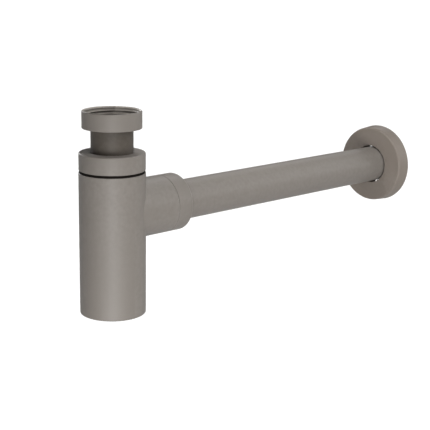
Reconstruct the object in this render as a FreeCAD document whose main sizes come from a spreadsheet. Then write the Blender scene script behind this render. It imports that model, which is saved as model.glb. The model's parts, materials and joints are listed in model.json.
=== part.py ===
# Bottle trap for a washbasin: union nut, inlet tube, cap nut, bottle with a side branch,
# outlet nut, straight outlet tube and wall flange, with the rings and gaskets inside.
# Millimetres. +Z runs up the bottle's axis and +Y towards the wall.
# The origin is the centre of the union nut's mouth.
# A threaded wall is drawn at the root of its thread, so the teeth stand in the space in front of it.

import FreeCAD, Part
import Sketcher
import os

doc = FreeCAD.newDocument("bottle_trap")
sheet = doc.addObject("Spreadsheet::Sheet", "sizes")

# Driving sizes

driving = {
    "tube_diameter": 32.0,  # outside of both tubes
    "tube_wall": 1.0,
    "tube_chamfer": 0.3,  # cut ends of both tubes
    "nut_clearance": 0.3,  # round a tube in a nut or guide
    "slip_clearance": 0.1,  # round a tube in a ring or gasket that grips it
    "face_gap": 0.1,  # between flat faces that press together and still turn
    "cone_gap": 0.15,  # between a cone gasket and its seat
    "thread_depth": 0.9,  # root to crest of both neck threads
    "thread_clearance": 0.2,  # crest of a neck thread to the root of its nut
    "edge_break": 0.3,  # small chamfers on nuts, necks and flange
    "union_thread_diameter": 41.91,  # G 1 1/4, root of the nut's thread
    "union_thread_length": 7.0,
    "union_thread_depth": 1.48,  # root to crest
    "union_wall": 1.55,
    "union_relief": 0.35,  # undercut behind the thread
    "union_web": 2.2,  # floor of the nut, which pulls the collar up
    "union_round": 1.1,  # upper outer edge
    "washer_setback": 0.4,  # end of the thread to the washer
    "washer_thickness": 2.0,
    "washer_width": 4.3,  # from its bore to its outer edge
    "washer_clearance": 0.1,  # washer and collar inside the thread's crest, through which they are fitted
    "collar_thickness": 1.5,
    "collar_bevel": 0.5,  # inner edge of the tube's mouth
    "exposed_tube": 18.1,  # inlet tube in view between union nut and cap nut
    "nut_web": 2.5,  # end walls of cap nut and outlet nut
    "slip_ring_thickness": 1.5,
    "gasket_rim": 1.2,  # part of a gasket outside its seat
    "gasket_cone": 5.6,  # part of a gasket inside its seat
    "gasket_tip": 1.2,  # thickness at the thin end
    "inlet_gasket_thickness": 4.3,
    "inlet_seat_wall": 1.55,  # wall at the neck's mouth
    "cap_grip": 7.85,  # length of neck inside the cap nut
    "cap_wall": 1.85,
    "cap_round": 1.1,  # upper outer edge
    "seal_line": 1.9,  # cap nut to shoulder, filled by the black ring
    "seal_recess": 0.55,  # how far the black ring lies behind the bottle's surface
    "bottle_step": 0.2,  # how far the bottle stands proud of the cap nut
    "bottle_wall": 1.5,
    "shoulder_thickness": 2.5,
    "sump_depth": 11.1,  # open space below the inlet tube
    "floor_thickness": 2.0,
    "base_round": 0.5,
    "water_seal": 50.0,  # how far the inlet tube dips below the outlet
    "branch_drop": 8.6,  # shoulder to the top of the branch
    "branch_reach": 48.0,  # bottle axis to the end of the branch
    "branch_wall": 1.5,
    "branch_fillet": 0.6,  # brazed joint of branch and bottle
    "guide_depth": 8.0,  # end of the branch to the inner side of its guide ring
    "outlet_gasket_thickness": 2.55,
    "outlet_seat_wall": 1.3,
    "outlet_grip": 8.6,  # length of neck inside the outlet nut
    "outlet_nut_wall": 1.45,
    "outlet_round": 1.6,  # outer edge of the nut's end
    "tube_stand_in": 6.0,  # outlet tube past the guide ring, inside the branch
    "wall_distance": 320.0,  # bottle axis to the wall
    "wall_insertion": 14.0,  # outlet tube past the wall's surface
    "flange_diameter": 70.5,
    "flange_depth": 12.4,
    "flange_taper": 1.0,  # how much smaller the front is than the rim on the wall, in radius
    "flange_sheet": 1.2,
    "flange_clearance": 1.3,  # round the tube in the flange's hole
    "flange_round": 1.4,  # front edge
    "spring_sheet": 0.7,
    "spring_clearance": 0.3,  # spring inside the flange's skirt
    "spring_lip": 4.0,  # distance from the tube at which the lips bend back
    "spring_lip_depth": 5.0,  # how far the lips reach back to their tips
    "spring_tip": 1.4,  # length of the tips along the tube
    "spring_tip_clearance": 0.2,
    "spring_slit": 0.8,  # width of the cuts between the lips
    "spring_lips": 12,
}

# Sizes that follow from them

derived = {
    "tube_radius": "tube_diameter / 2",
    "tube_bore": "tube_radius - tube_wall",
    "tube_edge": "min(tube_chamfer; tube_wall / 3)",
    "sleeve_radius": "tube_radius + slip_clearance",
    "passage_radius": "tube_radius + nut_clearance",
    "union_thread_radius": "union_thread_diameter / 2",
    "union_radius": "union_thread_radius + union_wall",
    "union_relief_radius": "union_thread_radius + union_relief",
    "union_edge": "min(union_round; (union_wall - edge_break) * 0.9)",
    "union_thread_end": "-union_thread_length",
    "washer_radius": "union_thread_radius - union_thread_depth - washer_clearance",
    "washer_bore": "washer_radius - washer_width",
    "washer_top": "union_thread_end - washer_setback",
    "collar_top": "washer_top - washer_thickness",
    "collar_base": "collar_top - collar_thickness",
    "union_web_top": "collar_base - face_gap",
    "union_base": "union_web_top - union_web",
    "cap_top": "union_base - exposed_tube",
    "cap_web_base": "cap_top - nut_web",
    "inlet_ring_top": "cap_web_base - face_gap",
    "inlet_ring_base": "inlet_ring_top - slip_ring_thickness",
    "inlet_gasket_top": "inlet_ring_base - face_gap",
    "inlet_rim_base": "inlet_gasket_top - gasket_rim",
    "inlet_gasket_base": "inlet_rim_base - gasket_cone",
    "inlet_neck_top": "inlet_rim_base - face_gap",
    "inlet_seat_base": "inlet_neck_top - gasket_cone",
    "cap_base": "inlet_neck_top - cap_grip",
    "seal_top": "cap_base - face_gap",
    "shoulder": "cap_base - seal_line",
    "shoulder_base": "shoulder - shoulder_thickness",
    "gasket_tip_radius": "sleeve_radius + gasket_tip",
    "seat_bore": "gasket_tip_radius + cone_gap",
    "inlet_gasket_radius": "sleeve_radius + inlet_gasket_thickness",
    "inlet_seat_radius": "inlet_gasket_radius + cone_gap",
    "inlet_neck_radius": "inlet_seat_radius + inlet_seat_wall",
    "cap_bore": "inlet_neck_radius + thread_depth + thread_clearance",
    "cap_radius": "cap_bore + cap_wall",
    "bottle_radius": "cap_radius + bottle_step",
    "bottle_bore": "bottle_radius - bottle_wall",
    "seal_bore": "inlet_neck_radius + slip_clearance",
    "seal_radius": "bottle_radius - seal_recess",
    "outlet_gasket_radius": "sleeve_radius + outlet_gasket_thickness",
    "outlet_seat_radius": "outlet_gasket_radius + cone_gap",
    "outlet_neck_radius": "outlet_seat_radius + outlet_seat_wall",
    "outlet_nut_bore": "outlet_neck_radius + thread_depth + thread_clearance",
    "outlet_nut_radius": "outlet_nut_bore + outlet_nut_wall",
    "branch_bore": "outlet_nut_radius - branch_wall",
    "guide_start": "branch_reach - guide_depth",
    "outlet_nut_start": "branch_reach + face_gap",
    "outlet_neck_end": "outlet_nut_start + outlet_grip",
    "outlet_seat_start": "outlet_neck_end - gasket_cone",
    "outlet_rim_start": "outlet_neck_end + face_gap",
    "outlet_gasket_start": "outlet_rim_start - gasket_cone",
    "outlet_gasket_end": "outlet_rim_start + gasket_rim",
    "outlet_ring_start": "outlet_gasket_end + face_gap",
    "outlet_ring_end": "outlet_ring_start + slip_ring_thickness",
    "outlet_web_start": "outlet_ring_end + face_gap",
    "outlet_nut_end": "outlet_web_start + nut_web",
    "outlet_axis": "shoulder - branch_drop - outlet_nut_radius",
    "dip_end": "outlet_axis - tube_bore - water_seal",
    "floor_top": "dip_end - sump_depth",
    "base": "floor_top - floor_thickness",
    "outlet_tube_start": "guide_start - tube_stand_in",
    "outlet_tube_end": "wall_distance + wall_insertion",
    "flange_radius": "flange_diameter / 2",
    "flange_front": "wall_distance - flange_depth",
    "flange_inside": "flange_front + flange_sheet",
    "flange_front_radius": "flange_radius - flange_taper",
    "flange_front_bore": "flange_front_radius - flange_sheet",
    "flange_skirt_bore": "flange_radius - flange_sheet",
    "flange_hole": "tube_radius + flange_clearance",
    "flange_inner_round": "max(flange_round - flange_sheet; edge_break)",
    "spring_radius": "flange_front_bore - max(spring_clearance; flange_inner_round)",
    "spring_bend": "tube_radius + spring_lip",
    "spring_bend_back": "spring_bend + spring_sheet / 2",
    "spring_front": "flange_inside + face_gap",
    "spring_back": "spring_front + spring_sheet",
    "spring_tip_radius": "tube_radius + spring_tip_clearance",
    "spring_tip_outside": "spring_tip_radius + spring_sheet",
    "spring_tip_start": "spring_front + spring_lip_depth",
    "spring_tip_bend": "spring_tip_start + spring_sheet / 2",
    "spring_tip_end": "spring_tip_start + spring_tip",
    "spring_slit_end": "spring_bend + spring_sheet",
}

contents = {name: str(number) for name, number in driving.items()}
contents.update({name: "=" + formula for name, formula in derived.items()})
for row, (name, content) in enumerate(contents.items(), start=1):
    sheet.set(f"A{row}", name)
    sheet.set(f"B{row}", content)
    sheet.setAlias(f"B{row}", name)
doc.recompute()


def size(name):
    return 0.0 if name == "0" else float(getattr(sheet, name))


def new_body(label):
    body = doc.addObject("PartDesign::Body", label)
    body.Label = label
    return body


def origin_plane(body, role):
    return next(plane for plane in body.Origin.OriginFeatures if plane.Role == role)


# A closed outline whose corners are pairs of named sizes, across and up in the sketch
def outline(body, name, role, corners):
    sketch = body.newObject("Sketcher::SketchObject", name)
    sketch.AttachmentSupport = (origin_plane(body, role), "")
    sketch.MapMode = "FlatFace"
    points = [FreeCAD.Vector(size(across), size(up), 0) for across, up in corners]
    count = len(points)
    for index in range(count):
        sketch.addGeometry(Part.LineSegment(points[index], points[(index + 1) % count]))
    for index in range(count):
        sketch.addConstraint(Sketcher.Constraint("Coincident", index, 2, (index + 1) % count, 1))
    before = (None, None)
    for index, corner in enumerate(corners):
        place_corner(sketch, index, corner, before)
        before = corner
    return sketch


# Each corner is level with the one before it, or has a dimension from the sketch's origin
def place_corner(sketch, index, corner, before):
    ways = (
        (corner[0], before[0], "Vertical", "DistanceX", -2),
        (corner[1], before[1], "Horizontal", "DistanceY", -1),
    )
    for name, name_before, level, dimension, origin_line in ways:
        if name == name_before:
            sketch.addConstraint(Sketcher.Constraint(level, index - 1))
        elif name == "0":
            sketch.addConstraint(Sketcher.Constraint("PointOnObject", index, 1, origin_line))
        else:
            number = sketch.addConstraint(Sketcher.Constraint(dimension, -1, 1, index, 1, size(name)))
            sketch.setExpression(f"Constraints[{number}]", f"sizes.{name}")


def turn(body, name, sketch, axis="V_Axis", kind="PartDesign::Revolution"):
    feature = body.newObject(kind, name)
    feature.Profile = sketch
    feature.ReferenceAxis = (sketch, [axis])
    feature.Angle = 360
    doc.recompute()
    return feature


tolerance = 0.001


# The round edges of a feature with that radius, at that distance along the axis
def rims(feature, radius, distance, axis=FreeCAD.Vector(0, 0, 1), centre=FreeCAD.Vector(0, 0, 0)):
    names = []
    for number, edge in enumerate(feature.Shape.Edges, start=1):
        if edge.Curve.TypeId != "Part::GeomCircle":
            continue
        offset = edge.Curve.Center - centre
        along = offset.dot(axis)
        on_axis = (offset - axis * along).Length < tolerance
        if on_axis and abs(edge.Curve.Radius - radius) < tolerance and abs(along - distance) < tolerance:
            names.append(f"Edge{number}")
    return names


def soften(body, name, edges, amount, kind="PartDesign::Chamfer"):
    base = body.Tip
    feature = body.newObject(kind, name)
    feature.Base = (base, edges)
    feature.setExpression("Radius" if kind == "PartDesign::Fillet" else "Size", f"sizes.{amount}")
    doc.recompute()
    return feature


# A piece turned about its own vertical axis, with the edges listed as radius, height, amount, kind
def turned(label, corners, edges=()):
    body = new_body(label)
    sketch = outline(body, label + "_outline", "XZ_Plane", corners)
    turn(body, label + "_turning", sketch)
    for number, (radius, height, amount, kind) in enumerate(edges, start=1):
        names = rims(body.Tip, size(radius), size(height))
        soften(body, f"{label}_edge_{number}", names, amount, kind)
    return body


# Outlet pieces are drawn about their own vertical axis and laid along the outlet
def lay_on_outlet(body, turned_by=0.0):
    lay_down = FreeCAD.Rotation(FreeCAD.Vector(1, 0, 0), -90)
    about_itself = FreeCAD.Rotation(FreeCAD.Vector(0, 0, 1), turned_by)
    body.Placement = FreeCAD.Placement(FreeCAD.Vector(0, 0, 0), lay_down.multiply(about_itself))
    body.setExpression(".Placement.Base.z", "sizes.outlet_axis")


fillet = "PartDesign::Fillet"
chamfer = "PartDesign::Chamfer"


def make_union_nut():
    corners = [
        ("union_thread_radius", "0"),
        ("union_radius", "0"),
        ("union_radius", "union_base"),
        ("passage_radius", "union_base"),
        ("passage_radius", "union_web_top"),
        ("union_relief_radius", "union_web_top"),
        ("union_relief_radius", "union_thread_end"),
        ("union_thread_radius", "union_thread_end"),
    ]
    edges = [
        ("union_radius", "0", "union_edge", fillet),
        ("union_thread_radius", "0", "edge_break", chamfer),
        ("union_radius", "union_base", "edge_break", chamfer),
        ("passage_radius", "union_base", "edge_break", chamfer),
    ]
    return turned("union_nut", corners, edges)


def make_inlet_washer():
    corners = [
        ("washer_bore", "collar_top"),
        ("washer_radius", "collar_top"),
        ("washer_radius", "washer_top"),
        ("washer_bore", "washer_top"),
    ]
    return turned("inlet_washer", corners)


def make_inlet_tube():
    corners = [
        ("tube_bore", "collar_top"),
        ("washer_radius", "collar_top"),
        ("washer_radius", "collar_base"),
        ("tube_radius", "collar_base"),
        ("tube_radius", "dip_end"),
        ("tube_bore", "dip_end"),
    ]
    edges = [
        ("tube_bore", "collar_top", "collar_bevel", chamfer),
        ("tube_radius", "dip_end", "tube_edge", chamfer),
        ("tube_bore", "dip_end", "tube_edge", chamfer),
    ]
    return turned("inlet_tube", corners, edges)


def make_cap_nut():
    corners = [
        ("passage_radius", "cap_top"),
        ("cap_radius", "cap_top"),
        ("cap_radius", "cap_base"),
        ("cap_bore", "cap_base"),
        ("cap_bore", "cap_web_base"),
        ("passage_radius", "cap_web_base"),
    ]
    edges = [
        ("cap_radius", "cap_top", "cap_round", fillet),
        ("passage_radius", "cap_top", "edge_break", chamfer),
        ("cap_radius", "cap_base", "edge_break", chamfer),
        ("cap_bore", "cap_base", "edge_break", chamfer),
    ]
    return turned("cap_nut", corners, edges)


def make_ring(label, inner, outer, low, high):
    return turned(label, [(inner, low), (outer, low), (outer, high), (inner, high)])


# A rubber ring with a short rim and a cone, thin end away from the nut
def make_cone_gasket(label, outer, rim_end, cone_start, cone_end):
    corners = [
        ("sleeve_radius", rim_end),
        (outer, rim_end),
        (outer, cone_start),
        ("gasket_tip_radius", cone_end),
        ("sleeve_radius", cone_end),
    ]
    return turned(label, corners)


# Neck, bottle and side branch, brazed into one piece and then hollow from both sides
def make_trap_body():
    body = new_body("trap_body")
    bottle = [
        ("0", "inlet_neck_top"),
        ("inlet_neck_radius", "inlet_neck_top"),
        ("inlet_neck_radius", "shoulder"),
        ("bottle_radius", "shoulder"),
        ("bottle_radius", "base"),
        ("0", "base"),
    ]
    turn(body, "bottle", outline(body, "bottle_outline", "XZ_Plane", bottle))
    branch = [
        ("0", "0"),
        ("0", "outlet_nut_radius"),
        ("branch_reach", "outlet_nut_radius"),
        ("branch_reach", "outlet_neck_radius"),
        ("outlet_neck_end", "outlet_neck_radius"),
        ("outlet_neck_end", "0"),
    ]
    sketch = outline(body, "branch_outline", "YZ_Plane", branch)
    sketch.setExpression(".AttachmentOffset.Base.y", "sizes.outlet_axis")
    turn(body, "branch", sketch, "H_Axis")
    joint_edges = [
        f"Edge{number}"
        for number, edge in enumerate(body.Tip.Shape.Edges, start=1)
        if edge.Curve.TypeId not in ("Part::GeomCircle", "Part::GeomLine")
    ]
    soften(body, "branch_joint", joint_edges, "branch_fillet", fillet)
    bottle_hollow = [
        ("0", "inlet_neck_top"),
        ("inlet_seat_radius", "inlet_neck_top"),
        ("seat_bore", "inlet_seat_base"),
        ("seat_bore", "shoulder_base"),
        ("bottle_bore", "shoulder_base"),
        ("bottle_bore", "floor_top"),
        ("0", "floor_top"),
    ]
    sketch = outline(body, "bottle_hollow_outline", "XZ_Plane", bottle_hollow)
    turn(body, "bottle_hollow", sketch, kind="PartDesign::Groove")
    branch_hollow = [
        ("0", "0"),
        ("0", "branch_bore"),
        ("guide_start", "branch_bore"),
        ("guide_start", "passage_radius"),
        ("outlet_seat_start", "passage_radius"),
        ("outlet_seat_start", "seat_bore"),
        ("outlet_neck_end", "outlet_seat_radius"),
        ("outlet_neck_end", "0"),
    ]
    sketch = outline(body, "branch_hollow_outline", "YZ_Plane", branch_hollow)
    sketch.setExpression(".AttachmentOffset.Base.y", "sizes.outlet_axis")
    turn(body, "branch_hollow", sketch, "H_Axis", "PartDesign::Groove")
    along_outlet = FreeCAD.Vector(0, 1, 0)
    outlet_centre = FreeCAD.Vector(0, 0, size("outlet_axis"))
    soften(body, "base_edge", rims(body.Tip, size("bottle_radius"), size("base")), "base_round", fillet)
    for name, radius, height in (
        ("shoulder_edge", "bottle_radius", "shoulder"),
        ("inlet_neck_edge", "inlet_neck_radius", "inlet_neck_top"),
    ):
        soften(body, name, rims(body.Tip, size(radius), size(height)), "edge_break")
    for name, radius, distance in (
        ("branch_edge", "outlet_nut_radius", "branch_reach"),
        ("outlet_neck_edge", "outlet_neck_radius", "outlet_neck_end"),
    ):
        names = rims(body.Tip, size(radius), size(distance), along_outlet, outlet_centre)
        soften(body, name, names, "edge_break")
    return body


def make_outlet_nut():
    corners = [
        ("outlet_nut_bore", "outlet_nut_start"),
        ("outlet_nut_radius", "outlet_nut_start"),
        ("outlet_nut_radius", "outlet_nut_end"),
        ("passage_radius", "outlet_nut_end"),
        ("passage_radius", "outlet_web_start"),
        ("outlet_nut_bore", "outlet_web_start"),
    ]
    edges = [
        ("outlet_nut_radius", "outlet_nut_end", "outlet_round", fillet),
        ("passage_radius", "outlet_nut_end", "edge_break", chamfer),
        ("outlet_nut_radius", "outlet_nut_start", "edge_break", chamfer),
        ("outlet_nut_bore", "outlet_nut_start", "edge_break", chamfer),
    ]
    return turned("outlet_nut", corners, edges)


def make_outlet_tube():
    corners = [
        ("tube_bore", "outlet_tube_start"),
        ("tube_radius", "outlet_tube_start"),
        ("tube_radius", "outlet_tube_end"),
        ("tube_bore", "outlet_tube_end"),
    ]
    edges = [
        (radius, end, "tube_edge", chamfer)
        for radius in ("tube_radius", "tube_bore")
        for end in ("outlet_tube_start", "outlet_tube_end")
    ]
    return turned("outlet_tube", corners, edges)


# A pressed shell: front plate with a hole, and a skirt that widens towards the wall
def make_wall_flange():
    corners = [
        ("flange_hole", "flange_front"),
        ("flange_front_radius", "flange_front"),
        ("flange_radius", "wall_distance"),
        ("flange_skirt_bore", "wall_distance"),
        ("flange_front_bore", "flange_inside"),
        ("flange_hole", "flange_inside"),
    ]
    edges = [
        ("flange_front_radius", "flange_front", "flange_round", fillet),
        ("flange_front_bore", "flange_inside", "flange_inner_round", fillet),
        ("flange_hole", "flange_front", "edge_break", chamfer),
    ]
    return turned("wall_flange", corners, edges)


# A stamped disc behind the flange's plate, slit into lips that bend back onto the tube
def make_grip_spring():
    corners = [
        ("spring_bend", "spring_front"),
        ("spring_radius", "spring_front"),
        ("spring_radius", "spring_back"),
        ("spring_bend_back", "spring_back"),
        ("spring_tip_outside", "spring_tip_bend"),
        ("spring_tip_outside", "spring_tip_end"),
        ("spring_tip_radius", "spring_tip_end"),
        ("spring_tip_radius", "spring_tip_start"),
    ]
    body = turned("flange_grip_spring", corners)
    slit = [
        ("0", "spring_front"),
        ("spring_slit_end", "spring_front"),
        ("spring_slit_end", "spring_tip_end"),
        ("0", "spring_tip_end"),
    ]
    pocket = body.newObject("PartDesign::Pocket", "spring_slit_cut")
    pocket.Profile = outline(body, "spring_slit_outline", "XZ_Plane", slit)
    pocket.SideType = "Symmetric"
    pocket.setExpression("Length", "sizes.spring_slit")
    doc.recompute()
    pattern = body.newObject("PartDesign::PolarPattern", "spring_slit_pattern")
    pattern.Originals = [pocket]
    pattern.Axis = (pocket.Profile[0], ["V_Axis"])
    pattern.Angle = 360
    pattern.setExpression("Occurrences", "sizes.spring_lips")
    body.Tip = pattern
    doc.recompute()
    return body


inlet_pieces = [
    make_union_nut(),
    make_inlet_washer(),
    make_inlet_tube(),
    make_cap_nut(),
    make_ring("inlet_slip_ring", "sleeve_radius", "inlet_neck_radius", "inlet_ring_base", "inlet_ring_top"),
    make_cone_gasket(
        "inlet_cone_gasket",
        "inlet_gasket_radius",
        "inlet_gasket_top",
        "inlet_rim_base",
        "inlet_gasket_base",
    ),
    make_ring("cap_seal_ring", "seal_bore", "seal_radius", "shoulder", "seal_top"),
    make_trap_body(),
]
outlet_pieces = [
    make_outlet_nut(),
    make_ring("outlet_slip_ring", "sleeve_radius", "outlet_neck_radius", "outlet_ring_start", "outlet_ring_end"),
    make_cone_gasket(
        "outlet_cone_gasket",
        "outlet_gasket_radius",
        "outlet_gasket_end",
        "outlet_rim_start",
        "outlet_gasket_start",
    ),
    make_outlet_tube(),
    make_wall_flange(),
]
for piece in outlet_pieces:
    lay_on_outlet(piece)
grip_spring = make_grip_spring()
lay_on_outlet(grip_spring, 180.0 / size("spring_lips"))
pieces = inlet_pieces + outlet_pieces + [grip_spring]
doc.recompute()

# Checks and files

for thing in doc.Objects:
    if "Invalid" in thing.State or "Error" in thing.State:
        raise RuntimeError(f"{thing.Label}: {thing.State}")
for piece in pieces:
    if piece.Shape.isNull() or not piece.Shape.isValid() or len(piece.Shape.Solids) != 1:
        raise RuntimeError(f"{piece.Label} is not one sound solid")

os.makedirs("parts", exist_ok=True)
for piece in pieces:
    piece.Shape.exportStep(f"parts/{piece.Label}.step")
    box = piece.Shape.BoundBox
    print(
        f"{piece.Label:20s} volume {piece.Shape.Volume:10.1f}"
        f"  x {box.XMin:7.2f} {box.XMax:7.2f}  y {box.YMin:7.2f} {box.YMax:7.2f}"
        f"  z {box.ZMin:7.2f} {box.ZMax:7.2f}"
    )
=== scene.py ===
# Looks of a satin coated bottle trap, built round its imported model. Metres throughout.
import json
import math
import bmesh
import bpy
from mathutils import Matrix, Vector


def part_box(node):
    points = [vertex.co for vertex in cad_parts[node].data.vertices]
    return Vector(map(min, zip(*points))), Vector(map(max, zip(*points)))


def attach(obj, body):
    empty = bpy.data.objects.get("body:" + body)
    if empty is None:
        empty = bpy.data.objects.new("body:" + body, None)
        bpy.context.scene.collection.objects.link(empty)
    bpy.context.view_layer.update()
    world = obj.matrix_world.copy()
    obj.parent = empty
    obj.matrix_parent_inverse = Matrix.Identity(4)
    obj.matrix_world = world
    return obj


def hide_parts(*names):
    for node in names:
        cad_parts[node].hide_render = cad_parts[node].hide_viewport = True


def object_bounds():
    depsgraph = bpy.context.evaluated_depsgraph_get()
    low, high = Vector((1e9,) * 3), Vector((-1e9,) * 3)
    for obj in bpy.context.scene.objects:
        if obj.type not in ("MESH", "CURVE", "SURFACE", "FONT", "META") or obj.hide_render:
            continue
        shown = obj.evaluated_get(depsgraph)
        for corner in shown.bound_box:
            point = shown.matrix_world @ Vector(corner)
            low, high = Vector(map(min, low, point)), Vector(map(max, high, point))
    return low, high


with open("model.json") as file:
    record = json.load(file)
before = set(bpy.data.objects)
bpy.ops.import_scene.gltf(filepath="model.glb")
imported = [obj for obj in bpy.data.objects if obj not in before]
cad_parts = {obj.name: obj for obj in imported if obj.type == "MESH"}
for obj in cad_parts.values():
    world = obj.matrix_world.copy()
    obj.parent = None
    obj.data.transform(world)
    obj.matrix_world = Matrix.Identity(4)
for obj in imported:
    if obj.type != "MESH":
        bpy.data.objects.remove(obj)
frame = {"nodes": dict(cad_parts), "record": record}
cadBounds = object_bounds()
print("frame loaded:", len(frame["nodes"]), "nodes")

quarterTurn = math.radians(90)


def mm(value):
    return value / 1000


def addObject(name, data):
    added = bpy.data.objects.new(name, data)
    bpy.context.scene.collection.objects.link(added)
    return added


# Materials. A size is that of a noise's blotches, a detail says how finely they break up.

coat = {
    "colour": (0.0950, 0.0856, 0.0764),
    "mottleColour": (0.0940, 0.0846, 0.0754),
    "mottleSize": mm(14),
    "mottleDetail": 3.0,
    "wearAndHighlightColour": (0.111, 0.101, 0.092),
    "wearAndHighlight": (0.0, 0.6),  # how far the rims are rubbed, least and most
    "gloss": 0.2,
    "roughness": (0.445, 0.46),  # smoothest and roughest patches
    "patchSize": mm(3),
    "patchDetail": 5.0,
    "grainSize": mm(0.35),
    "grainDetail": 2.0,
    "grainHeight": mm(0.0014),
}

darkCoat = {
    **coat,
    "colour": (0.0415, 0.0350, 0.0285),
    "mottleColour": (0.0407, 0.0343, 0.0279),
    "wearAndHighlightColour": (0.050, 0.043, 0.036),
    "gloss": 0.17,
    "roughness": (0.50, 0.53),
}

flangeCoat = {
    **coat,
    "colour": (0.1060, 0.0905, 0.0775),
    "mottleColour": (0.1048, 0.0894, 0.0765),
    "wearAndHighlightColour": (0.118, 0.103, 0.090),
}

unionCoat = {
    **coat,
    "wearAndHighlightColour": (0.240, 0.218, 0.192),  # painted highlight on the mouth's cone and the thread's crests, lighter where light from above the front falls inside the nut
    "wearAndHighlight": (0.75, 1.0),
}

blackRubber = {
    "colour": (0.0030, 0.0023, 0.0018),
    "dustColour": (0.0048, 0.0040, 0.0033),
    "gloss": 0.03,
    "roughness": (0.55, 0.75),
    "sheenSize": mm(6),
    "sheenDetail": 3.0,
    "grainSize": mm(0.5),
    "grainDetail": 4.0,
    "grainHeight": mm(0.015),
}

greyRubber = {
    **blackRubber,
    "colour": (0.060, 0.060, 0.063),
    "dustColour": (0.085, 0.085, 0.087),
    "gloss": 0.3,
}

whitePlastic = {
    **blackRubber,
    "colour": (0.60, 0.60, 0.57),
    "dustColour": (0.54, 0.54, 0.50),
    "gloss": 0.5,
    "roughness": (0.35, 0.5),
    "grainHeight": mm(0.005),
}

springSteel = {
    "colour": (0.85, 0.84, 0.81),
    "dullColour": (0.68, 0.67, 0.64),
    "roughness": (0.12, 0.2),
    "streakSize": mm(0.4),
    "streakDetail": 4.0,
    "streakStretch": (0.08, 1, 1),  # drawn out along X, as the strip was rolled
    "streakHeight": mm(0.004),
}

noiseSpan = (0.35, 0.65)  # where nearly all of a noise's values lie
mixPlaces = {"factor": 0, "first": 6, "second": 7, "result": 2}  # a Mix node's colour sockets


class Shader:
    # A new material with its principled shader and object coordinates ready
    def __init__(self, name):
        self.material = bpy.data.materials.new(name)
        self.material.use_nodes = True
        self.tree = self.material.node_tree
        self.surface = self.tree.nodes["Principled BSDF"]
        self.place = self.tree.nodes.new("ShaderNodeTexCoord").outputs["Object"]

    def node(self, kind, inputs=None, **settings):
        node = self.tree.nodes.new(kind)
        for name, value in settings.items():
            setattr(node, name, value)
        for name, value in (inputs or {}).items():
            self.feed(node.inputs[name], value)
        return node

    def feed(self, socket, value):
        if isinstance(value, bpy.types.NodeSocket):
            self.tree.links.new(value, socket)
        elif isinstance(value, tuple) and len(value) == 3 and socket.type == "RGBA":
            socket.default_value = (*value, 1)
        else:
            socket.default_value = value

    def noise(self, size, detail, stretch=None):
        place = self.place
        if stretch:
            place = self.node("ShaderNodeMapping", {"Vector": place, "Scale": stretch}).outputs["Vector"]
        node = self.node("ShaderNodeTexNoise", {"Vector": place, "Scale": 1 / size, "Detail": detail})
        return node.outputs["Fac"]

    def between(self, noise, low, high):
        start, end = noiseSpan
        inputs = {"Value": noise, "From Min": start, "From Max": end, "To Min": low, "To Max": high}
        return self.node("ShaderNodeMapRange", inputs).outputs["Result"]

    def mixed(self, factor, first, second):
        mix = self.node("ShaderNodeMix", data_type="RGBA")
        self.feed(mix.inputs[mixPlaces["factor"]], factor)
        self.feed(mix.inputs[mixPlaces["first"]], first)
        self.feed(mix.inputs[mixPlaces["second"]], second)
        return mix.outputs[mixPlaces["result"]]

    def bump(self, height, distance):
        inputs = {"Height": height, "Distance": distance, "Strength": 1.0}
        self.feed(self.surface.inputs["Normal"], self.node("ShaderNodeBump", inputs).outputs["Normal"])

    def finish(self, inputs):
        for name, value in inputs.items():
            self.feed(self.surface.inputs[name], value)
        return self.material


def coatedMetal(name, look):
    shader = Shader(name)
    mottle = shader.between(shader.noise(look["mottleSize"], look["mottleDetail"]), 0.0, 1.0)
    patches = shader.noise(look["patchSize"], look["patchDetail"])
    # Marked rims are lightened: worn edges on most pieces, a painted highlight inside the union nut
    rim = shader.node("ShaderNodeAttribute", attribute_name="rim").outputs["Fac"]
    wearAndHighlight = shader.between(patches, *look["wearAndHighlight"])
    rubbed = shader.node("ShaderNodeMath", {0: rim, 1: wearAndHighlight}, operation="MULTIPLY").outputs["Value"]
    colour = shader.mixed(mottle, look["colour"], look["mottleColour"])
    shader.bump(shader.noise(look["grainSize"], look["grainDetail"]), look["grainHeight"])
    return shader.finish({
        "Base Color": shader.mixed(rubbed, colour, look["wearAndHighlightColour"]),
        "Roughness": shader.between(patches, *look["roughness"]),
        "Specular IOR Level": look["gloss"],
    })


def moulded(name, look):
    shader = Shader(name)
    grain = shader.noise(look["grainSize"], look["grainDetail"])
    sheen = shader.noise(look["sheenSize"], look["sheenDetail"])
    shader.bump(grain, look["grainHeight"])
    return shader.finish({
        "Base Color": shader.mixed(shader.between(grain, 0.0, 1.0), look["colour"], look["dustColour"]),
        "Roughness": shader.between(sheen, *look["roughness"]),
        "Specular IOR Level": look["gloss"],
    })


def rolledSteel(name, look):
    shader = Shader(name)
    streaks = shader.noise(look["streakSize"], look["streakDetail"], look["streakStretch"])
    shader.bump(streaks, look["streakHeight"])
    return shader.finish({
        "Base Color": shader.mixed(shader.between(streaks, 0.0, 1.0), look["colour"], look["dullColour"]),
        "Roughness": shader.between(streaks, *look["roughness"]),
        "Metallic": 1.0,
    })


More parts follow.
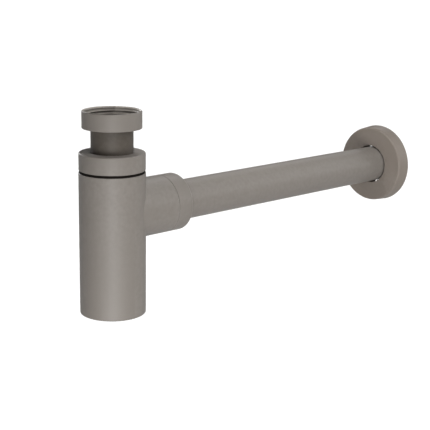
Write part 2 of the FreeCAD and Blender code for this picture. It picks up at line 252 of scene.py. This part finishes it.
finishes = {
    "coated_metal": coatedMetal("satinCoat", coat),
    "inlet_tube_metal": coatedMetal("darkSatinCoat", darkCoat),
    "black_rubber": moulded("blackRubber", blackRubber),
    "grey_rubber": moulded("greyRubber", greyRubber),
    "white_plastic": moulded("whitePlastic", whitePlastic),
    "spring_steel": rolledSteel("springSteel", springSteel),
}
ownFinishes = {
    "union_nut": coatedMetal("unionCoat", unionCoat),
    "wall_flange": coatedMetal("flangeCoat", flangeCoat),  # a little warmer than the rest
}
slotOf = {part["node"]: part["material_slot"] for part in frame["record"]["subparts"]}
bodyOf = {node: body for body, nodes in frame["record"]["behaviour"]["bodies"].items() for node in nodes}
print("materials made:", len(finishes) + len(ownFinishes))


def finishOf(node):
    return ownFinishes.get(node, finishes[slotOf[node]])


# Turned pieces: the model's own surfaces, welded, smooth, with their rims marked as rubbed, and the union
# nut's mouth marked for a painted highlight

smoothing = {
    "weld": mm(0.0005),
    "sharpAngle": math.radians(30),
    "rimFrom": math.radians(5),  # bend at which a rim begins to be rubbed
    "rimTo": math.radians(14),  # bend from which it is rubbed in full
}

# The union nut's mouth: its cone is reshaped, and painted lighter as a highlight in place of light from
# above the front
unionMouth = {
    "node": "union_nut",
    "reach": mm(21.8),  # radius of the mouth's cone at its top
    "drop": mm(0.08),  # how far that top lies below the rim's crown
    "land": mm(0.5),  # depth of the rim that the cone takes in
    "rubbed": 0.75,  # how far the cone is lightened, a painted highlight
    "rubbedDepth": mm(1),
    "rubbedMargin": mm(0.1),  # how far past the cone's top the painted highlight reaches
}


def openMouth(mesh, mouth):
    # Lays the rim's inner corner back to a cone, as a tap leaves it
    for vertex in mesh.vertices:
        radius = vertex.co.xy.length
        if vertex.co.z > -mouth["land"] and radius < mouth["reach"]:
            vertex.co.z = radius - mouth["reach"] - mouth["drop"]


# Painted highlight on the mouth's cone and the rim just past it
def mouthHighlight(vertex, mouth):
    near = vertex.co.xy.length < mouth["reach"] + mouth["rubbedMargin"]
    return mouth["rubbed"] if near and vertex.co.z > -mouth["rubbedDepth"] else 0.0


def rimWear(vertex):
    bend = max((edge.calc_face_angle(0.0) for edge in vertex.link_edges), default=0.0)
    share = (bend - smoothing["rimFrom"]) / (smoothing["rimTo"] - smoothing["rimFrom"])
    return min(max(share, 0.0), 1.0)


def markRims(mesh, wearAndHighlight):
    mesh.attributes.new("rim", "FLOAT", "POINT").data.foreach_set("value", wearAndHighlight)


def dressNode(node):
    mesh = frame["nodes"][node].data.copy()
    hasMouth = node == unionMouth["node"]
    if hasMouth:
        openMouth(mesh, unionMouth)
    form = bmesh.new()
    form.from_mesh(mesh)
    bmesh.ops.remove_doubles(form, verts=form.verts, dist=smoothing["weld"])
    for face in form.faces:
        face.smooth = True
    for edge in form.edges:
        edge.smooth = edge.calc_face_angle(0.0) < smoothing["sharpAngle"]
    form.verts.index_update()
    form.to_mesh(mesh)
    markRims(mesh, [mouthHighlight(v, unionMouth) if hasMouth else rimWear(v) for v in form.verts])
    form.free()
    mesh.materials.clear()
    mesh.materials.append(finishOf(node))
    piece = addObject(node + ".dressed", mesh)
    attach(piece, bodyOf[node])
    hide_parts(node)


for node in frame["nodes"]:
    dressNode(node)
print("nodes dressed:", len(frame["nodes"]))


# Threads: one ridge swept along a right-hand helix by Geometry Nodes

ridgeSweep = {
    "stepsPerTurn": 160,
    "roundSteps": 3,  # in each rounded corner of its section
    "whole": (0.05, 0.95),  # shares of the length between which the ridge has its full size
    "endScale": 0.02,  # size to which it runs out at both ends
}

unionThread = {
    "node": "union_nut",
    "inward": True,
    "pitch": mm(2.309),
    "rootRadius": mm(20.955),
    "depth": mm(1.479),
    "sink": mm(0.1),  # how far the ridge's foot lies inside the wall
    "baseWidth": mm(1.92),
    "crestWidth": mm(0.62),
    "crestRound": mm(0.22),
    "rubbedFrom": 0.91,  # share of the depth above which the crest is lightened: a painted highlight in the union nut, worn on the other threads
    "edgeBreak": mm(0.925),  # chamfer of the mouth, which the first turns follow
    "mouth": 0,
    "inner": mm(-6.95),
    "ridgeAt": mm(-5.32),  # height of a ridge where it crosses the X axis
}

slipThread = {
    **unionThread,
    "pitch": mm(1.5),
    "depth": mm(0.9),
    "baseWidth": mm(1.05),
    "crestWidth": mm(0.25),
    "crestRound": mm(0.08),
    "edgeBreak": mm(0.3),
}

neckThread = {
    **slipThread,
    "node": "trap_body",
    "inward": False,
    "rootRadius": mm(22.1),
    "mouth": mm(-36.8),
    "inner": mm(-44.3),
    "ridgeAt": mm(-36.8),
}

capThread = {
    **slipThread,
    "node": "cap_nut",
    "rootRadius": mm(23.2),
    "mouth": mm(-44.65),
    "inner": mm(-36.9),
    "ridgeAt": neckThread["ridgeAt"] + slipThread["pitch"] / 2,
}

branchThread = {
    **slipThread,
    "node": "trap_body",
    "inward": False,
    "rootRadius": mm(20.1),
    "mouth": mm(56.7),
    "inner": mm(48.4),
    "ridgeAt": mm(56.7),
    "axisHeight": mm(-77.8),  # the outlet's axis runs along Y
}

outletNutThread = {
    **slipThread,
    "node": "outlet_nut",
    "rootRadius": mm(21.2),
    "mouth": mm(48.1),
    "inner": mm(56.6),
    "ridgeAt": branchThread["ridgeAt"] + slipThread["pitch"] / 2,
    "axisHeight": branchThread["axisHeight"],
}

ridgeSizes = (
    "Turns", "Root Radius", "Length", "Depth", "Sink",
    "Facing", "Base Width", "Crest Width", "Crest Round",
)


def threadTree(name, sweeping):
    tree = bpy.data.node_groups.new(name, "GeometryNodeTree")
    face = tree.interface
    face.new_socket("Geometry", in_out="OUTPUT", socket_type="NodeSocketGeometry")
    for label in ridgeSizes:
        face.new_socket(label, in_out="INPUT", socket_type="NodeSocketFloat")
    face.new_socket("Finish", in_out="INPUT", socket_type="NodeSocketMaterial")
    nodes = tree.nodes
    links = tree.links
    given = nodes.new("NodeGroupInput").outputs
    result = nodes.new("NodeGroupOutput")
    helix = nodes.new("GeometryNodeCurveSpiral")
    helix.inputs["Resolution"].default_value = sweeping["stepsPerTurn"]
    links.new(given["Turns"], helix.inputs["Rotations"])
    links.new(given["Root Radius"], helix.inputs["Start Radius"])
    links.new(given["Root Radius"], helix.inputs["End Radius"])
    links.new(given["Length"], helix.inputs["Height"])
    upright = nodes.new("GeometryNodeSetCurveNormal")
    upright.mode = "Z_UP"
    links.new(helix.outputs["Curve"], upright.inputs["Curve"])
    along = nodes.new("GeometryNodeSplineParameter")
    runOut = nodes.new("ShaderNodeFloatCurve")
    curve = runOut.mapping.curves[0]
    curve.points[0].location = (0, sweeping["endScale"])
    curve.points[1].location = (1, sweeping["endScale"])
    for share in sweeping["whole"]:
        curve.points.new(share, 1.0)
    for point in curve.points:
        point.handle_type = "VECTOR"
    runOut.mapping.update()
    links.new(along.outputs["Factor"], runOut.inputs["Value"])
    ridge = nodes.new("GeometryNodeCurvePrimitiveQuadrilateral")
    ridge.mode = "TRAPEZOID"
    ridge.inputs["Offset"].default_value = 0
    links.new(given["Base Width"], ridge.inputs["Bottom Width"])
    links.new(given["Crest Width"], ridge.inputs["Top Width"])
    links.new(given["Depth"], ridge.inputs["Height"])
    rounded = nodes.new("GeometryNodeFilletCurve")
    rounded.mode = "POLY"
    rounded.inputs["Count"].default_value = sweeping["roundSteps"]
    links.new(ridge.outputs["Curve"], rounded.inputs["Curve"])
    links.new(given["Crest Round"], rounded.inputs["Radius"])
    seat = nodes.new("ShaderNodeCombineXYZ")
    links.new(given["Sink"], seat.inputs["X"])
    facing = nodes.new("ShaderNodeCombineXYZ")
    links.new(given["Facing"], facing.inputs["Z"])
    turn = nodes.new("GeometryNodeTransform")
    links.new(facing.outputs["Vector"], turn.inputs["Rotation"])
    links.new(rounded.outputs["Curve"], turn.inputs["Geometry"])
    links.new(seat.outputs["Vector"], turn.inputs["Translation"])
    sweep = nodes.new("GeometryNodeCurveToMesh")
    sweep.inputs["Fill Caps"].default_value = True
    links.new(upright.outputs["Curve"], sweep.inputs["Curve"])
    links.new(turn.outputs["Geometry"], sweep.inputs["Profile Curve"])
    links.new(runOut.outputs["Value"], sweep.inputs["Scale"])
    smooth = nodes.new("GeometryNodeSetShadeSmooth")
    links.new(sweep.outputs["Mesh"], smooth.inputs["Geometry"])
    real = nodes.new("GeometryNodeRealizeInstances")
    links.new(smooth.outputs["Geometry"], real.inputs["Geometry"])
    finish = nodes.new("GeometryNodeSetMaterial")
    links.new(real.outputs["Geometry"], finish.inputs["Geometry"])
    links.new(given["Finish"], finish.inputs["Material"])
    links.new(finish.outputs["Geometry"], result.inputs["Geometry"])
    return tree


ridgeTree = threadTree("threadRidge", ridgeSweep)


def inwards(thread):
    # 1 in a nut, whose ridge stands towards the axis, and -1 on a neck
    return 1 if thread["inward"] else -1


def intoThread(thread):
    # 1 where the thread runs up from its mouth, and -1 where it runs down
    return 1 if thread["inner"] > thread["mouth"] else -1


def trimMouth(mesh, thread):
    # Keeps the ridge behind the cone of the mouth's chamfer, and below the mouth's face
    side = inwards(thread)
    into = intoThread(thread)
    gap = thread["sink"] / 2
    for vertex in mesh.vertices:
        depth = max((vertex.co.z - thread["mouth"]) * into, gap)
        vertex.co.z = thread["mouth"] + depth * into
        cone = thread["rootRadius"] + side * (thread["edgeBreak"] + gap - depth)
        radius = math.hypot(vertex.co.x, vertex.co.y)
        if (cone - radius) * side > 0:
            vertex.co.x *= cone / radius
            vertex.co.y *= cone / radius


# Crests lightened: worn on most threads, a painted highlight in the union nut
def crestWearAndHighlight(vertex, thread):
    height = (thread["rootRadius"] - vertex.co.xy.length) * inwards(thread)
    return 1.0 if height > thread["depth"] * thread["rubbedFrom"] else 0.0


def makeThread(name, thread):
    carrier = addObject(name, bpy.data.meshes.new(name))
    modifier = carrier.modifiers.new("ridge", "NODES")
    modifier.node_group = ridgeTree
    side = inwards(thread)
    innerCentre = thread["inner"] - intoThread(thread) * thread["baseWidth"] / 2
    length = abs(innerCentre - thread["mouth"])
    values = {
        "Turns": length / thread["pitch"],
        "Root Radius": thread["rootRadius"],
        "Length": length,
        "Depth": thread["depth"],
        "Sink": side * (thread["depth"] / 2 - thread["sink"]),
        "Facing": -side * quarterTurn,
        "Base Width": thread["baseWidth"],
        "Crest Width": thread["crestWidth"],
        "Crest Round": thread["crestRound"],
        "Finish": finishOf(thread["node"]),
    }
    for item in ridgeTree.interface.items_tree:
        if item.in_out == "INPUT":
            modifier[item.identifier] = values[item.name]
    bpy.context.view_layer.update()
    evaluated = carrier.evaluated_get(bpy.context.evaluated_depsgraph_get())
    mesh = bpy.data.meshes.new_from_object(evaluated)
    carrier.modifiers.clear()
    lowEnd = min(innerCentre, thread["mouth"])
    startAngle = (lowEnd - thread["ridgeAt"]) / thread["pitch"] * math.tau
    mesh.transform(Matrix.Translation((0, 0, lowEnd)) @ Matrix.Rotation(startAngle, 4, "Z"))
    trimMouth(mesh, thread)
    markRims(mesh, [crestWearAndHighlight(vertex, thread) for vertex in mesh.vertices])
    if "axisHeight" in thread:
        layDown = Matrix.Rotation(-quarterTurn, 4, "X")
        mesh.transform(Matrix.Translation((0, 0, thread["axisHeight"])) @ layDown)
    piece = addObject(name, mesh)
    bpy.data.objects.remove(carrier)
    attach(piece, bodyOf[thread["node"]])
    print(name, "vertices:", len(mesh.vertices))


makeThread("unionThread", unionThread)
makeThread("neckThread", neckThread)
makeThread("capThread", capThread)
makeThread("branchThread", branchThread)
makeThread("outletNutThread", outletNutThread)
print("threads cut")


# Camera: the photograph's place, found from the outlines of the nuts, the bottle, the tubes and the flange

camera = {
    "azimuth": math.radians(46.467),
    "elevation": math.radians(13.822),
    "roll": math.radians(0.976),
    "distance": 0.7963,  # to the centre of the cap nut's top, along the view
    "focalPixels": 1069.99,
    "capPixel": (112.132, 151.871),  # where that centre lies in the picture
    "pictureSize": 430,
    "sensorWidth": 36.0,
    "nearest": 0.02,
    "farthest": 200,
}


def directionTo(azimuth, elevation):
    flat = math.cos(elevation)
    return Vector((math.sin(azimuth) * flat, -math.cos(azimuth) * flat, math.sin(elevation)))


def placeCamera(look):
    back = directionTo(look["azimuth"], look["elevation"])
    level = Vector((math.cos(look["azimuth"]), math.sin(look["azimuth"]), 0))
    above = back.cross(level)
    right = level * math.cos(look["roll"]) + above * math.sin(look["roll"])
    up = above * math.cos(look["roll"]) - level * math.sin(look["roll"])
    scale = look["distance"] / look["focalPixels"]
    across = (look["capPixel"][0] - look["pictureSize"] / 2) * scale
    down = (look["capPixel"][1] - look["pictureSize"] / 2) * scale
    capTop = Vector((0, 0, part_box("cap_nut")[1].z))
    eye = capTop - right * across + up * down + back * look["distance"]
    data = bpy.data.cameras.new("studioCamera")
    data.sensor_width = look["sensorWidth"]
    data.lens = look["focalPixels"] * look["sensorWidth"] / look["pictureSize"]
    data.clip_start = look["nearest"]
    data.clip_end = look["farthest"]
    holder = addObject("studioCamera", data)
    holder.matrix_world = Matrix.Translation(eye) @ Matrix((right, up, back)).transposed().to_4x4()
    bpy.context.scene.camera = holder


placeCamera(camera)


# Studio: pale floor, even surroundings and soft lights

studio = {
    "floorDrop": 1.0,  # below the bottle
    "floorSize": 60.0,
    "floorColour": (0.95, 0.95, 0.95),
    "floorMirrored": (0.47, 0.47, 0.47),  # darker colour it shows in the coat's gloss, a painted shade on its reflections
    "floorRoughness": 0.9,
    "floorGloss": 0.0,
    "skyColour": (1, 1, 1, 1),
    "skyLight": 0.02,  # what the surroundings give the object
    "skyBrightness": 1.1,  # what shows behind it above the floor
    "softness": math.radians(24),  # how wide each large light looks from the object
    "largeLights": [
        # name, azimuth and elevation in degrees, strength
        ("keyLight", 76.5, 55, 2.01),
        ("lowerKeyLight", 76.5, 35, 1.63),
        ("rightLight", 136.5, 15, 0.60),
        ("rimLight", 166.5, 15, 0.64),
        ("upperRimLight", 166.5, 35, 0.37),
        ("backLight", 211.5, 35, 0.30),
        ("leftBackLight", 256.5, 15, 1.10),
        ("leftLight", 286.5, 15, 0.45),
    ],
    "fillLights": {
        "size": 0.45,
        "distance": 1.2,
        "aim": (0, 0.10, -0.08),  # the middle of the trap
        "lamps": [
            # name, azimuth and elevation in degrees, watts
            ("lowLeftFill", 16.5, -15, 2.2),
            ("lowFrontFill", 46.5, -15, 8.3),
            ("lowRightFill", 76.5, -15, 2.1),
            ("floorFill", 61.5, -30, 3.8),
        ],
    },
    "footLight": {
        "size": 0.10,
        "distance": 0.16,
        "aim": (0, 0, -0.165),  # just below the bottle
        "lamps": [
            ("bottleFootLight", 36, -30, 0.12),
        ],
    },
    "flangeLights": {
        "size": 0.16,
        "distance": 0.3,
        "aim": (0, 0.31, -0.078),  # the middle of the wall flange
        "lamps": [
            ("flangeSideLight", -20, 45, 0.354),
            ("flangeTopLight", 0, 60, 0.356),
            ("flangeFaceLight", 0, 25, 0.038),
            ("flangeGapLight", 60, 20, 0.035),  # for the spring in the flange's hole
        ],
    },
}


def makeFloor(look):
    mesh = bpy.data.meshes.new("floor")
    half = look["floorSize"] / 2
    height = cadBounds[0].z - look["floorDrop"]
    corners = [(x * half, y * half, height) for x, y in ((-1, -1), (1, -1), (1, 1), (-1, 1))]
    mesh.from_pydata(corners, [], [(0, 1, 2, 3)])
    shader = Shader("paleFloor")
    # Glossy rays see the floor darker than it is: painted shade on its reflections in the trap
    mirrored = shader.node("ShaderNodeLightPath").outputs["Is Glossy Ray"]
    mesh.materials.append(shader.finish({
        "Base Color": shader.mixed(mirrored, look["floorColour"], look["floorMirrored"]),
        "Roughness": look["floorRoughness"],
        "Specular IOR Level": look["floorGloss"],
    }))
    addObject("floor", mesh)


def makeWorld(look):
    world = bpy.data.worlds.new("studio")
    world.use_nodes = True
    nodes = world.node_tree.nodes
    links = world.node_tree.links
    background = nodes["Background"]
    background.inputs["Color"].default_value = look["skyColour"]
    seen = nodes.new("ShaderNodeLightPath").outputs["Is Camera Ray"]
    strength = nodes.new("ShaderNodeMapRange")
    strength.inputs["To Min"].default_value = look["skyLight"]
    strength.inputs["To Max"].default_value = look["skyBrightness"]
    links.new(seen, strength.inputs["Value"])
    links.new(strength.outputs["Result"], background.inputs["Strength"])
    bpy.context.scene.world = world


def placeLight(data, azimuth, elevation, aim, distance):
    away = directionTo(math.radians(azimuth), math.radians(elevation))
    lamp = addObject(data.name, data)
    lamp.location = Vector(aim) + away * distance
    lamp.rotation_euler = (-away).to_track_quat("-Z", "Y").to_euler()


def makeLargeLights(look):
    for name, azimuth, elevation, strength in look["largeLights"]:
        data = bpy.data.lights.new(name, "SUN")
        data.angle = look["softness"]
        data.energy = strength
        placeLight(data, azimuth, elevation, look["fillLights"]["aim"], look["fillLights"]["distance"])


def makeAreaLights(group):
    for name, azimuth, elevation, watts in group["lamps"]:
        data = bpy.data.lights.new(name, "AREA")
        data.shape = "DISK"
        data.size = group["size"]
        data.energy = watts
        placeLight(data, azimuth, elevation, group["aim"], group["distance"])


makeFloor(studio)
makeWorld(studio)
makeLargeLights(studio)
makeAreaLights(studio["fillLights"])
makeAreaLights(studio["footLight"])
makeAreaLights(studio["flangeLights"])
bpy.context.scene.view_settings.view_transform = "Standard"
print("studio ready")
